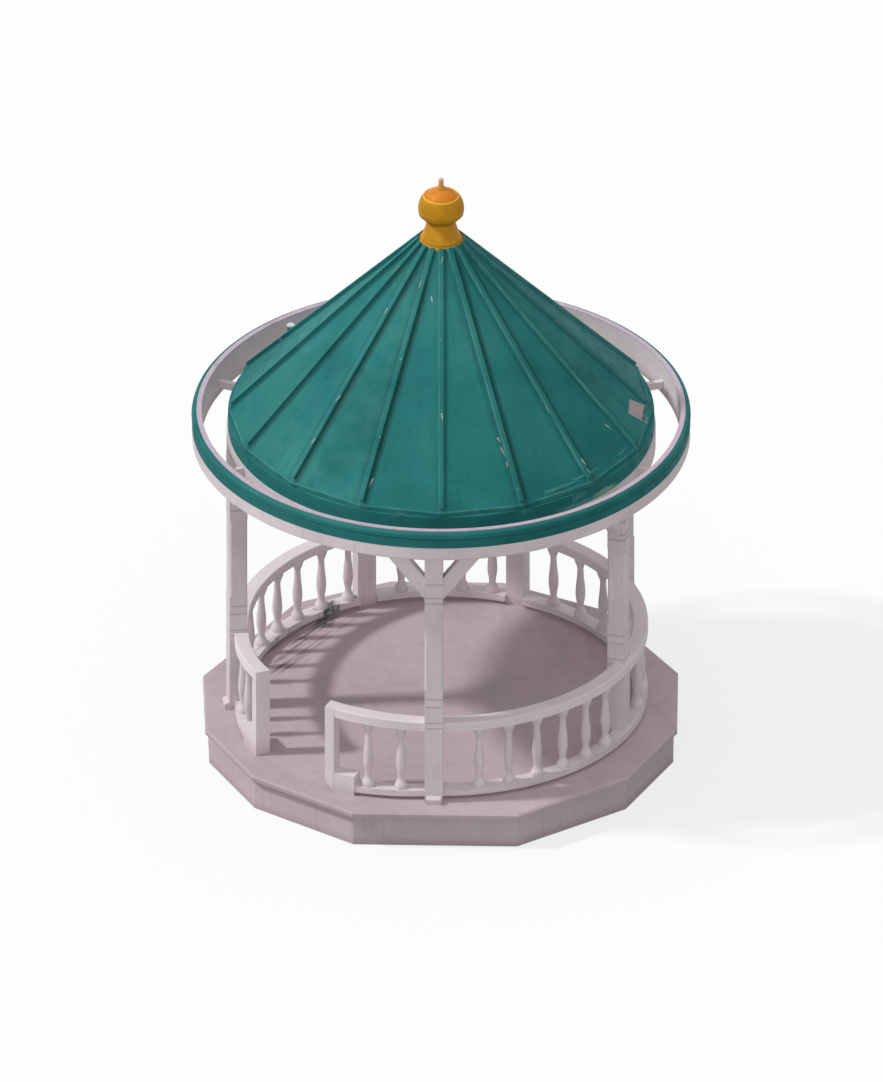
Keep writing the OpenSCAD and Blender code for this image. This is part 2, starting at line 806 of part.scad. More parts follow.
newel(front_stub_bay, newel_bevel_w);  // newel_front
newel(left_stub_bay);  // newel_left
ring_beam();
hoop_brackets();
hoop_lining();
hoop_fascia();
hoop_moulding();
hoop_lip();
eaves_band();
rafters();
roof_boss();
roof_boards();
roof_battens();
roof_vent();
finial_collar();
finial_ball();
finial_cap();
finial_spike();
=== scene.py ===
import bpy
import bmesh
import math
import random
from mathutils import Matrix, Vector


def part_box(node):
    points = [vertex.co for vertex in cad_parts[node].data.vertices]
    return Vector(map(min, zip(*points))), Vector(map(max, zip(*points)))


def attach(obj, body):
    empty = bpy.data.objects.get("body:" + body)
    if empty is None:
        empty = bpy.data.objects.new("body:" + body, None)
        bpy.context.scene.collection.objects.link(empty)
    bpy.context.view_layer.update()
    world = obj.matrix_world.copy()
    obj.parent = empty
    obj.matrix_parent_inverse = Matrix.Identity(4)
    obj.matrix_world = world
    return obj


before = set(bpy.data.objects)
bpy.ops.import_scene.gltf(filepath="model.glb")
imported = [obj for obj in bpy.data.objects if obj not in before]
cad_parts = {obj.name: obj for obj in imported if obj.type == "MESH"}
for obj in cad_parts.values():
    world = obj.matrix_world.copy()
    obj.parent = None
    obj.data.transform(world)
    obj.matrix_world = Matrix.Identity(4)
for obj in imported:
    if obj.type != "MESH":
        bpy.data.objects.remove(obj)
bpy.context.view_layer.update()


# ---- measures, in metres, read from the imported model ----

def foot_of(node):
    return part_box(node)[0].z


def top_of(node):
    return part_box(node)[1].z


FLOOR_Z = top_of("plinth_slab")
HANDRAIL_Z = top_of("handrail_front_right")
RAIL_TOP_Z = top_of("base_rails")
BRACE_FOOT_Z = foot_of("knee_braces")
BAND_FOOT_Z = foot_of("eaves_band")
VENT_TOP_Z = top_of("roof_vent")
COLLAR_FOOT_Z = foot_of("finial_collar")
BALL_LOW_Z = foot_of("finial_ball")
BALL_HIGH_Z = top_of("finial_ball")
SPIKE_TIP_Z = top_of("finial_spike")

RAIL_R = 2.195                  # middle of the base rails, from the stand's axis
EAVES_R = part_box("roof_boards")[1].x
ROOF_SIDES = 16
SIDE_STEP = 2 * math.pi / ROOF_SIDES
FACET_R = EAVES_R * math.cos(SIDE_STEP / 2)

# Grooves round a post: one band under the handrail's top, one under the braces' feet.
GROOVES_SINK = 0.029
LOW_GROOVES = (0.0, 0.070, 0.270, 0.370)
HIGH_GROOVES = (0.0, 0.070, 0.240)
GROOVE_HALF = 0.0075


# ---- camera, floor and light ----

CAMERA_HEIGHT = 30.0            # degrees over level
CAMERA_AWAY = 30.0              # metres from the point it looks at
CAMERA_REACH = 200
FRAME_TALL = 11.902             # metres that the upright frame takes in
AIM = Vector((0.0044, 0.0, FLOOR_Z + 1.969))

WHITE = (1.0, 1.0, 1.0, 1)
SKY_STRENGTH = 0.44
FLOOR_HALF = 40
FLOOR_MATT = (0.40, 0.395, 0.40, 1)
FLOOR_PALE = (0.86, 0.87, 0.86, 1)
FLOOR_SHADED = 0.28             # share of the floor's looks that takes shadows

# name, strength, direction it shines from, width in degrees, whether it throws shadows
SUNS = (
    ("key", 1.92, (-0.690, -0.050, 0.722), 4.5, True),
    ("overhead_fill", 0.46, (0.0, 0.0, 1.0), 60, False),
    ("front_fill", 0.42, (0.0, -0.87, 0.50), 60, False),
)


def make_camera():
    pitch = math.radians(CAMERA_HEIGHT)
    data = bpy.data.cameras.new("camera")
    data.type = "ORTHO"
    data.ortho_scale = FRAME_TALL
    data.clip_end = CAMERA_REACH
    camera = bpy.data.objects.new("camera", data)
    camera.location = AIM + CAMERA_AWAY * Vector((0, -math.cos(pitch), math.sin(pitch)))
    camera.rotation_euler = (math.pi / 2 - pitch, 0, 0)
    bpy.context.scene.collection.objects.link(camera)
    bpy.context.scene.camera = camera


def white_to_camera(tree, shader, white):
    """Shows the white to the camera and in gloss, and the shader to all other rays."""
    path = tree.nodes.new("ShaderNodeLightPath")
    seen = path.outputs["Is Camera Ray"]
    for ray in ("Is Glossy Ray", "Is Transmission Ray"):
        most = tree.nodes.new("ShaderNodeMath")
        most.operation = "MAXIMUM"
        tree.links.new(seen, most.inputs[0])
        tree.links.new(path.outputs[ray], most.inputs[1])
        seen = most.outputs[0]
    mix = tree.nodes.new("ShaderNodeMixShader")
    tree.links.new(seen, mix.inputs[0])
    tree.links.new(shader.outputs[0], mix.inputs[1])
    tree.links.new(white.outputs[0], mix.inputs[2])
    return mix


def plain_shader(tree, kind, colour, strength=None):
    node = tree.nodes.new(kind)
    node.inputs["Color"].default_value = colour
    if strength is not None:
        node.inputs["Strength"].default_value = strength
    return node


def make_world():
    world = bpy.data.worlds.new("studio")
    world.use_nodes = True
    tree = world.node_tree
    tree.nodes.clear()
    light = plain_shader(tree, "ShaderNodeBackground", WHITE, SKY_STRENGTH)
    white = plain_shader(tree, "ShaderNodeBackground", WHITE, 1.0)
    mix = white_to_camera(tree, light, white)
    out = tree.nodes.new("ShaderNodeOutputWorld")
    tree.links.new(mix.outputs[0], out.inputs["Surface"])
    bpy.context.scene.world = world


def make_floor():
    bm = bmesh.new()
    bmesh.ops.create_grid(bm, x_segments=1, y_segments=1, size=FLOOR_HALF)
    mesh = bpy.data.meshes.new("studio_floor")
    bm.to_mesh(mesh)
    bm.free()
    floor = bpy.data.objects.new("studio_floor", mesh)
    bpy.context.scene.collection.objects.link(floor)
    material = bpy.data.materials.new("studio_floor")
    material.use_nodes = True
    tree = material.node_tree
    tree.nodes.clear()
    matt = plain_shader(tree, "ShaderNodeBsdfDiffuse", FLOOR_MATT)
    pale = plain_shader(tree, "ShaderNodeBsdfDiffuse", FLOOR_PALE)
    glow = plain_shader(tree, "ShaderNodeEmission", WHITE, 1.0)
    mix = tree.nodes.new("ShaderNodeMixShader")
    mix.inputs[0].default_value = FLOOR_SHADED
    tree.links.new(glow.outputs[0], mix.inputs[1])
    tree.links.new(pale.outputs[0], mix.inputs[2])
    seen = white_to_camera(tree, matt, mix)
    out = tree.nodes.new("ShaderNodeOutputMaterial")
    tree.links.new(seen.outputs[0], out.inputs["Surface"])
    mesh.materials.append(material)


def make_sun(name, strength, towards, softness, shadow):
    data = bpy.data.lights.new(name, "SUN")
    data.use_shadow = shadow
    data.energy = strength
    data.angle = math.radians(softness)
    sun = bpy.data.objects.new(name, data)
    sun.rotation_euler = Vector(towards).to_track_quat("Z", "Y").to_euler()
    bpy.context.scene.collection.objects.link(sun)


# ---- how a finish is put together ----

class Finish:
    """One finish as a node tree that reads the piece's own coordinates."""

    def __init__(self, name):
        self.material = bpy.data.materials.new(name)
        self.material.use_nodes = True
        self.tree = self.material.node_tree
        self.shader = self.tree.nodes["Principled BSDF"]
        self.place = self.tree.nodes.new("ShaderNodeTexCoord").outputs["Object"]
        self.x, self.y, self.z = self.split(self.place)
        square = self.plus(self.times(self.x, self.x), self.times(self.y, self.y))
        self.angle = self.calc("ARCTAN2", self.y, self.x)    # round the stand's axis
        self.away = self.calc("SQRT", square)                # out from it

    def join(self, source, socket):
        if hasattr(source, "is_linked"):
            self.tree.links.new(source, socket)
        else:
            socket.default_value = source

    def split(self, vector):
        node = self.tree.nodes.new("ShaderNodeSeparateXYZ")
        self.join(vector, node.inputs[0])
        return node.outputs

    # numbers

    def calc(self, operation, *values):
        node = self.tree.nodes.new("ShaderNodeMath")
        node.operation = operation
        for socket, value in zip(node.inputs, values):
            self.join(value, socket)
        return node.outputs[0]

    def plus(self, one, other):
        return self.calc("ADD", one, other)

    def minus(self, one, other):
        return self.calc("SUBTRACT", one, other)

    def times(self, one, other):
        return self.calc("MULTIPLY", one, other)

    def range(self, value, low, high, to_low=0.0, to_high=1.0):
        """Eases from one number to another as the value goes from low to high."""
        node = self.tree.nodes.new("ShaderNodeMapRange")
        node.interpolation_type = "SMOOTHSTEP"
        self.join(value, node.inputs["Value"])
        for name, number in (("From Min", low), ("From Max", high),
                             ("To Min", to_low), ("To Max", to_high)):
            node.inputs[name].default_value = number
        return node.outputs["Result"]

    # places

    def vector(self, x, y, z):
        node = self.tree.nodes.new("ShaderNodeCombineXYZ")
        for socket, value in zip(node.inputs, (x, y, z)):
            self.join(value, socket)
        return node.outputs[0]

    def stretched(self, sx, sy, sz):
        node = self.tree.nodes.new("ShaderNodeMapping")
        node.inputs["Scale"].default_value = (sx, sy, sz)
        self.join(self.place, node.inputs[0])
        return node.outputs[0]

    def turned(self, degrees, across, along):
        """Place on plan, squeezed across a direction and drawn out along it."""
        c, n = math.cos(math.radians(degrees)), math.sin(math.radians(degrees))
        u = self.plus(self.times(self.x, c * along), self.times(self.y, n * along))
        v = self.minus(self.times(self.y, c * across), self.times(self.x, n * across))
        return self.vector(u, v, self.z)

    def round_at(self, turn, out, up):
        """Place told by angle, distance from the axis and height, each at its own scale."""
        return self.vector(self.times(self.angle, turn), self.times(self.away, out),
                           self.times(self.z, up))

    # patterns

    def noise(self, at, scale, detail=3.0, roughness=0.5):
        node = self.tree.nodes.new("ShaderNodeTexNoise")
        self.join(at, node.inputs["Vector"])
        node.inputs["Scale"].default_value = scale
        node.inputs["Detail"].default_value = detail
        node.inputs["Roughness"].default_value = roughness
        return node.outputs["Fac"]

    def cells(self, at, scale):
        node = self.tree.nodes.new("ShaderNodeTexVoronoi")
        self.join(at, node.inputs["Vector"])
        node.inputs["Scale"].default_value = scale
        return node.outputs["Distance"]

    def all_of(self, *masks):
        product = masks[0]
        for mask in masks[1:]:
            product = self.times(product, mask)
        return product

    def any_of(self, *masks):
        most = masks[0]
        for mask in masks[1:]:
            most = self.calc("MAXIMUM", most, mask)
        return most

    def line_at(self, value, middle, half):
        """1 where the value lies within half of the middle."""
        return self.calc("COMPARE", value, middle, half)

    def band(self, value, low, high, soft):
        """1 between low and high, with soft ends."""
        return self.all_of(self.range(value, low - soft, low + soft),
                           self.range(value, high - soft, high + soft, 1.0, 0.0))

    def sector(self, low, high, soft):
        """1 between two bearings from the front, in degrees towards the right."""
        return self.band(self.angle, math.radians(low - 90), math.radians(high - 90), soft)

    def ragged(self, value, pattern, reach):
        """A measure with its edge made uneven by a pattern."""
        return self.plus(value, self.times(pattern, reach))

    # colours and surface

    def ramp(self, value, *stops):
        node = self.tree.nodes.new("ShaderNodeValToRGB")
        bar = node.color_ramp.elements
        while len(bar) < len(stops):
            bar.new(0.5)
        for stop, (at, colour) in zip(bar, stops):
            stop.position = at
            stop.color = (*colour, 1)
        self.join(value, node.inputs[0])
        return node.outputs[0]

    def mix(self, share, under, over):
        """Lays one colour over another in a share from 0 to 1."""
        node = self.tree.nodes.new("ShaderNodeMix")
        node.data_type = "RGBA"
        self.join(share, node.inputs["Factor"])
        sockets = [socket for socket in node.inputs if socket.type == "RGBA"]
        for value, socket in zip((under, over), sockets):
            self.join(value if hasattr(value, "is_linked") else (*value, 1), socket)
        return [socket for socket in node.outputs if socket.type == "RGBA"][0]

    def bump(self, height, distance, strength=0.5, under=None):
        node = self.tree.nodes.new("ShaderNodeBump")
        node.inputs["Strength"].default_value = strength
        node.inputs["Distance"].default_value = distance
        self.join(height, node.inputs["Height"])
        if under is not None:
            self.join(under, node.inputs["Normal"])
        return node.outputs[0]

    def finish(self, colour, roughness, normal, gloss, metal=0.0):
        self.join(colour, self.shader.inputs["Base Color"])
        self.join(roughness, self.shader.inputs["Roughness"])
        self.join(normal, self.shader.inputs["Normal"])
        self.shader.inputs["Specular IOR Level"].default_value = gloss
        self.shader.inputs["Metallic"].default_value = metal
        return self.material


# ---- pale paint ----

PAINT_FRESH = (0.765, 0.685, 0.705)
PAINT_AGED = (0.655, 0.580, 0.605)
PAINT_NEW = (0.90, 0.82, 0.83)
PAINT_RUBBED = (0.84, 0.775, 0.79)
PAINT_GRAIN = (0.50, 0.435, 0.45)
PAINT_GRIT = (0.40, 0.35, 0.36)
PAINT_SOIL = (0.36, 0.31, 0.31)
BARE_WOOD = (0.30, 0.245, 0.22)
GRIME = (0.23, 0.20, 0.20)
GREEN_SMEAR = (0.42, 0.52, 0.40)
HOOP_GRAIN = (0.55, 0.47, 0.485)
HOOP_GRIT = (0.46, 0.39, 0.405)
HOOP_DRIPS = (0.45, 0.375, 0.40)
HOOP_LOWER_TONE = (0.42, 0.36, 0.37)
RAIL_GRAIN = (0.50, 0.43, 0.44)
TEAL_SPLASH = (0.16, 0.45, 0.42)
STROKES_ON_PAINT = (0.12, 0.10, 0.11)
STAIN_ON_PAINT = (0.016, 0.050, 0.042)
MAUVE = (0.47, 0.37, 0.455)
MAUVE_LIGHT = (0.54, 0.45, 0.52)
MAUVE_FLECK = (0.70, 0.64, 0.66)
MAUVE_DIRT = (0.30, 0.24, 0.30)

PAINT_GLOSS = 0.32
RAIL_GLOSS = 0.30


def pale_paint(name, grain="up", grooves=(), soiled=True, fresh=0.0, smeared=False):
    """Old off-white paint on timber: grain telling through, chips, rubs and soil.

    The grain runs up a post or round a curved length. Grooves are the heights of cut
    lines. Fresh is the share of newer paint. Smeared leaves green where the eaves are
    torn above it."""
    f = Finish(name)
    along = f.stretched(9, 9, 0.55) if grain == "up" else f.round_at(1.5, 11, 11)
    grain_lines = f.noise(along, 5.0, 5, 0.62)
    clouds = f.noise(f.place, 1.5, 3)
    blotches = f.noise(f.place, 7.5, 4, 0.6)
    grit = f.noise(f.place, 130, 2)
    colour = f.ramp(clouds, (0.30, PAINT_AGED), (0.62, PAINT_FRESH))
    colour = f.mix(f.range(grain_lines, 0.42, 0.70, 0.0, 0.20), colour, PAINT_GRAIN)
    colour = f.mix(fresh, colour, PAINT_NEW)
    colour = f.mix(f.range(blotches, 0.56, 0.75, 0.0, 0.22), colour, PAINT_RUBBED)
    colour = f.mix(f.range(grit, 0.30, 0.70, 0.0, 0.10), colour, PAINT_GRIT)
    rubbed = f.noise(along, 2.3, 6, 0.72)
    chips = f.all_of(f.range(rubbed, 0.665, 0.685),
                     f.range(f.noise(f.place, 3.1, 2), 0.52, 0.62))
    colour = f.mix(f.times(chips, 0.45), colour, BARE_WOOD)
    if grooves:
        cut = f.any_of(*(f.line_at(f.z, at, GROOVE_HALF) for at in grooves))
        near = f.any_of(*(f.band(f.z, at - 0.012, at + 0.020, 0.012) for at in grooves))
        colour = f.mix(f.times(near, 0.07), colour, GRIME)
        colour = f.mix(f.times(cut, 0.22), colour, GRIME)
    if soiled:
        foot = f.range(f.ragged(f.z, blotches, 0.10), FLOOR_Z + 0.05, FLOOR_Z + 0.24,
                       0.42, 0.0)
        colour = f.mix(foot, colour, PAINT_SOIL)
    if smeared:
        smear = f.all_of(f.sector(44, 57, 0.06),
                         f.range(f.ragged(f.z, blotches, 0.12),
                                 BAND_FOOT_Z - 0.02, BAND_FOOT_Z + 0.03))
        colour = f.mix(f.times(smear, 0.7), colour, GREEN_SMEAR)
    rough = f.range(f.noise(f.place, 22, 3), 0.3, 0.7, 0.50, 0.72)
    height = f.minus(f.times(grain_lines, 0.6), f.times(chips, 0.5))
    normal = f.bump(height, 0.0025, 0.45)
    normal = f.bump(f.noise(f.place, 60, 2), 0.0010, 0.25, normal)
    return f.finish(colour, rough, normal, PAINT_GLOSS)


def hoop_paint(name, node, darker_foot):
    """Pale paint on the curved boards of the hoop, darker towards the lower edge."""
    f = Finish(name)
    foot, top = foot_of(node), top_of(node)
    grain_lines = f.noise(f.round_at(2.0, 12, 12), 5.0, 5, 0.62)
    clouds = f.noise(f.place, 1.3, 3)
    grit = f.noise(f.place, 95, 3, 0.7)
    drips = f.noise(f.round_at(30, 0, 1.2), 1.0, 4, 0.6)
    colour = f.ramp(clouds, (0.30, PAINT_AGED), (0.62, PAINT_FRESH))
    colour = f.mix(f.range(grain_lines, 0.45, 0.72, 0.0, 0.22), colour, HOOP_GRAIN)
    colour = f.mix(f.range(grit, 0.42, 0.70, 0.0, 0.20), colour, HOOP_GRIT)
    colour = f.mix(f.range(drips, 0.52, 0.75, 0.0, 0.24), colour, HOOP_DRIPS)
    # Darker towards the lower edge, by the given share.
    low = f.range(f.ragged(f.z, drips, 0.05), foot, foot + (top - foot) * 0.55,
                  darker_foot, 0.0)
    colour = f.mix(low, colour, HOOP_LOWER_TONE)
    rough = f.range(grit, 0.3, 0.7, 0.50, 0.75)
    normal = f.bump(f.plus(f.times(grain_lines, 0.5), grit), 0.0018, 0.4)
    return f.finish(colour, rough, normal, RAIL_GLOSS)


def base_rail_paint():
    """The rails at the floor: rubbed pale paint with splashes and deep green stains."""
    f = Finish("base_rail_paint")
    grain_lines = f.noise(f.round_at(1.8, 11, 11), 5.0, 5, 0.62)
    colour = f.ramp(f.noise(f.place, 1.7, 3), (0.30, PAINT_AGED), (0.62, PAINT_FRESH))
    colour = f.mix(f.range(grain_lines, 0.42, 0.70, 0.0, 0.34), colour, RAIL_GRAIN)
    edge = f.range(f.calc("ABSOLUTE", f.minus(f.away, RAIL_R)), 0.060, 0.078)
    splash = f.all_of(edge, f.range(f.noise(f.place, 9, 5, 0.7), 0.60, 0.64),
                      f.range(f.z, RAIL_TOP_Z - 0.03, RAIL_TOP_Z - 0.005))
    colour = f.mix(f.times(splash, 0.6), colour, TEAL_SPLASH)
    colour = f.mix(f.times(stroke_mask(f), 0.5), colour, STROKES_ON_PAINT)
    stains = f.any_of(*(stain_mask(f, *stain) for stain in RAIL_STAINS))
    colour = f.mix(stains, colour, STAIN_ON_PAINT)
    rough = f.range(f.noise(f.place, 25, 3), 0.3, 0.7, 0.48, 0.72)
    return f.finish(colour, rough, f.bump(grain_lines, 0.0025, 0.45), RAIL_GLOSS)


def lip_paint():
    """Mauve paint along the hoop's capping, rubbed and flecked."""
    f = Finish("lip_paint")
    fine = f.noise(f.round_at(9, 30, 1), 2, 5, 0.65)
    flecks = f.noise(f.place, 11, 5, 0.7)
    dirt = f.noise(f.place, 3.3, 4)
    colour = f.mix(f.range(fine, 0.35, 0.7), MAUVE, MAUVE_LIGHT)
    colour = f.mix(f.range(flecks, 0.62, 0.68, 0.0, 0.6), colour, MAUVE_FLECK)
    colour = f.mix(f.range(dirt, 0.58, 0.72, 0.0, 0.5), colour, MAUVE_DIRT)
    rough = f.range(fine, 0.3, 0.7, 0.5, 0.7)
    return f.finish(colour, rough, f.bump(fine, 0.0015, 0.4), RAIL_GLOSS)


# ---- stains and strokes beside the back left rail ----

STROKE_WAY = 54                 # degrees on plan, the way the strokes run
STROKE_MIDDLE = (-1.52, 1.16)
RAIL_STAINS = ((-1.27, 1.76, 0.24), (-0.97, 1.99, 0.10))
FLOOR_STAIN = (-1.30, 1.66, 0.22)


def stain_mask(f, x, y, reach):
    """Ragged spill round a place on plan, torn into strokes."""
    dx = f.minus(f.x, x)
    dy = f.minus(f.y, y)
    far = f.calc("SQRT", f.plus(f.times(dx, dx), f.times(dy, dy)))
    torn = f.noise(f.turned(STROKE_WAY, 30, 3.5), 1.0, 5, 0.75)
    spill = f.range(f.ragged(far, torn, reach * 3.0), reach * 1.85, reach * 2.15, 0.92, 0.0)
    return f.all_of(spill, f.range(f.noise(f.place, 24, 4, 0.7), 0.40, 0.52, 0.45, 1.0))


def stroke_mask(f):
    """Long thin strokes that fan across the floor beside the back left rail."""
    strokes = f.noise(f.turned(STROKE_WAY, 30, 0.8), 1.0, 3, 0.7)
    u, v, _ = f.split(f.turned(STROKE_WAY, 1.0, 1.0))
    c, n = math.cos(math.radians(STROKE_WAY)), math.sin(math.radians(STROKE_WAY))
    x, y = STROKE_MIDDLE
    along = f.calc("ABSOLUTE", f.minus(u, x * c + y * n))
    across = f.calc("ABSOLUTE", f.minus(v, y * c - x * n))
    return f.all_of(f.range(strokes, 0.53, 0.57), f.range(along, 0.55, 0.88, 1.0, 0.0),
                    f.range(across, 0.13, 0.33, 1.0, 0.0))


# ---- green paint ----

GREEN_DEEP = (0.010, 0.130, 0.127)
GREEN_MID = (0.017, 0.175, 0.169)
GREEN_LIGHT = (0.030, 0.200, 0.190)
GREEN_WORN = (0.060, 0.245, 0.232)
GREEN_MOTTLE = (0.008, 0.080, 0.077)
GREEN_HOOP = (0.005, 0.055, 0.054)
GREEN_GUTTER_SHADOW = (0.006, 0.048, 0.047)
GREEN_RIDGE_HIGHLIGHT = (0.12, 0.33, 0.31)
GREEN_EAVES_HIGHLIGHT = (0.075, 0.28, 0.265)
GREEN_BAND_RIM = (0.075, 0.27, 0.255)
GREEN_RUBBED = (0.10, 0.33, 0.27)
GREEN_TORN = (0.27, 0.46, 0.35)
UNDERCOAT = (0.52, 0.53, 0.52)
BOARD_LIGHT = (0.47, 0.41, 0.40)
BOARD_DARK = (0.34, 0.285, 0.27)
BOARD_SEAM = (0.07, 0.055, 0.05)
VENT_RIM = (0.66, 0.66, 0.65)
TORN_SHEET = ((0.020, 0.165, 0.155), (0.050, 0.235, 0.220))
FLAKE_UNDERCOAT = ((0.24, 0.27, 0.26), (0.50, 0.46, 0.45))
BARE_BOARD = ((0.34, 0.27, 0.28), (0.47, 0.385, 0.40))

GREEN_GLOSS = 0.12
DOWNWARD = -0.3                 # a face whose normal points lower than this is beneath
BOARD_WIDE = 0.075


def weathered_green(name, streaks_at, fine_at):
    """Green paint with clouds, streaks and mottling: the ground of three finishes."""
    f = Finish(name)
    streaks = f.noise(f.round_at(*streaks_at), 1.6, 4, 0.55)
    fine = f.noise(f.round_at(*fine_at), 1.5, 5, 0.65)
    clouds = f.noise(f.place, 0.9, 2)
    mottle = f.noise(f.place, 6.0, 5, 0.62)
    wide = f.noise(f.place, 0.75, 1)
    colour = f.ramp(clouds, (0.34, GREEN_DEEP), (0.50, GREEN_MID), (0.70, GREEN_LIGHT))
    colour = f.mix(f.range(wide, 0.485, 0.515, 0.0, 0.30), colour, GREEN_DEEP)
    colour = f.mix(f.range(streaks, 0.46, 0.72, 0.0, 0.40), colour, GREEN_DEEP)
    colour = f.mix(f.range(fine, 0.50, 0.78, 0.0, 0.22), colour, GREEN_WORN)
    colour = f.mix(f.range(mottle, 0.55, 0.75, 0.0, 0.22), colour, GREEN_MOTTLE)
    return f, colour, fine, mottle


def finish_green(f, colour, lift, mottle):
    rough = f.range(mottle, 0.3, 0.7, 0.52, 0.74)
    normal = f.bump(lift, 0.003, 0.30)
    normal = f.bump(f.noise(f.place, 45, 3), 0.0010, 0.25, normal)
    return f.finish(colour, rough, normal, GREEN_GLOSS)


def roof_green():
    """The roof: streaks run down the slope; beside the hips lie dark gutters, dirt deepened
    by painted shadow, and pale ridges of painted highlight; a painted highlight runs along
    the eaves' rim;
    undercoat shows in flakes, and the boards show beneath."""
    f, colour, fine, mottle = weathered_green("roof_green", (17, 0.55, 0), (75, 1.7, 0))
    hip = f.minus(f.calc("MODULO", f.plus(f.angle, (ROOF_SIDES + 0.5) * SIDE_STEP),
                         SIDE_STEP), 0.5 * SIDE_STEP)
    aside = f.times(f.away, hip)
    beside = f.calc("ABSOLUTE", aside)

    # Dark gutters beside the battens: dirt with painted shadow, deepest on the side turned
    # from the key light, and faint at the battens that run to the front and back.
    off_front = f.range(f.calc("ABSOLUTE", f.x), 0.10, 0.20, 0.25, 1.0)
    gutter_shadow = f.all_of(f.range(beside, 0.024, 0.034),
                      f.range(beside, 0.050, 0.115, 1.0, 0.0), off_front)
    shadow_side = f.range(aside, -0.01, 0.01, 0.30, 0.80)
    colour = f.mix(f.all_of(gutter_shadow, shadow_side), colour, GREEN_GUTTER_SHADOW)
    # Pale line along one side of each batten: a painted highlight where the key light
    # falls, broken by noise.
    ridge_highlight = f.all_of(f.band(aside, -0.031, -0.019, 0.004),
                     f.range(fine, 0.35, 0.62, 0.15, 0.60))
    colour = f.mix(ridge_highlight, colour, GREEN_RIDGE_HIGHLIGHT)

    from_middle = f.minus(SIDE_STEP / 2, f.calc("ABSOLUTE", hip))
    facet = f.times(f.away, f.calc("COSINE", from_middle))
    # Light line along the facets' outer edge at the eaves: a painted highlight.
    rim = f.all_of(f.range(facet, FACET_R - 0.016, FACET_R - 0.010),
                   f.range(f.noise(f.place, 3.0, 4, 0.7), 0.40, 0.60, 0.15, 0.75))
    colour = f.mix(rim, colour, GREEN_EAVES_HIGHLIGHT)

    flaked = f.noise(f.round_at(30, 5.5, 1), 1.9, 6, 0.72)
    flakes = f.all_of(f.range(flaked, 0.660, 0.672),
                      f.range(beside, 0.034, 0.055, 1.0, 0.0),
                      f.range(f.noise(f.place, 2.2, 1), 0.46, 0.56))
    colour = f.mix(f.times(flakes, 0.85), colour, UNDERCOAT)

    low_edge = f.range(f.ragged(f.away, mottle, 0.12), EAVES_R - 0.02, EAVES_R + 0.06,
                       0.0, 0.45)
    colour = f.mix(low_edge, colour, GREEN_DEEP)
    gold_edge = f.range(f.ragged(f.away, f.noise(f.place, 9, 5, 0.7), 0.10), 0.284, 0.300,
                        1.0, 0.0)
    colour = f.mix(gold_edge, colour, GOLD_MID)

    facing = f.split(f.tree.nodes.new("ShaderNodeNewGeometry").outputs["Normal"])
    beneath = f.calc("LESS_THAN", facing[2], DOWNWARD)
    board_grain = f.noise(f.round_at(3, 24, 0), 2, 5)
    boards = f.mix(f.range(board_grain, 0.35, 0.7), BOARD_LIGHT, BOARD_DARK)
    seam = f.calc("LESS_THAN", f.calc("PINGPONG", f.away, BOARD_WIDE), 0.0022)
    boards = f.mix(seam, boards, BOARD_SEAM)
    colour = f.mix(beneath, colour, boards)
    return finish_green(f, colour, f.minus(f.times(fine, 0.5), flakes), mottle)


def hoop_green():
    """The hoop's moulding: streaks run round it, a shade darker than the roof."""
    f, colour, fine, mottle = weathered_green("hoop_green", (1.8, 8, 14), (5, 22, 45))
    colour = f.mix(0.14, colour, GREEN_HOOP)
    return finish_green(f, colour, f.times(fine, 0.5), mottle)


def eaves_green():
    """The band under the eaves: worn along its foot, and torn at the front right."""
    f, colour, fine, mottle = weathered_green("eaves_green", (1.8, 8, 14), (5, 22, 45))
    over_foot = f.minus(f.ragged(f.z, mottle, 0.10), BAND_FOOT_Z)
    rubbed = f.all_of(f.sector(34, 54, 0.05), f.range(over_foot, 0.08, 0.12, 0.6, 0.0))
    colour = f.mix(rubbed, colour, GREEN_RUBBED)
    torn = f.all_of(f.sector(47, 54, 0.035), f.range(over_foot, 0.10, 0.13, 1.0, 0.0))
    colour = f.mix(f.times(torn, 0.75), colour, GREEN_TORN)
    rim = f.band(f.ragged(f.z, mottle, 0.008), BAND_FOOT_Z - 0.01, BAND_FOOT_Z + 0.020,
                 0.006)
    colour = f.mix(f.times(rim, 0.75), colour, GREEN_BAND_RIM)
    return finish_green(f, colour, f.times(fine, 0.5), mottle)


def vent_paint():
    """The vent's green stub with its pale open end."""
    f = Finish("vent_paint")
    patch = f.noise(f.place, 16, 4, 0.65)
    colour = f.ramp(patch, (0.35, GREEN_DEEP), (0.65, GREEN_MID))
    top = f.range(f.ragged(f.z, patch, 0.03), VENT_TOP_Z - 0.010, VENT_TOP_Z + 0.004)
    colour = f.mix(top, colour, VENT_RIM)
    rough = f.range(patch, 0.3, 0.7, 0.5, 0.7)
    return f.finish(colour, rough, f.bump(patch, 0.002, 0.4), gloss=0.15)


def peeled_paint(name, low, high):
    """Lifted flake or strip, in patches of two colours."""
    f = Finish(name)
    patch = f.noise(f.place, 35, 4, 0.65)
    colour = f.ramp(patch, (0.35, low), (0.65, high))
    return f.finish(colour, 0.75, f.bump(patch, 0.001, 0.5), gloss=0.2)


def bare_board():
    """Weathered grey board where the roof's covering is gone."""
    f = Finish("bare_board")
    low, high = BARE_BOARD
    grain_lines = f.noise(f.turned(10, 40, 5), 1.6, 5, 0.6)
    colour = f.ramp(grain_lines, (0.30, low), (0.70, high))
    return f.finish(colour, 0.8, f.bump(grain_lines, 0.002, 0.5), gloss=0.2)


# ---- gilding ----

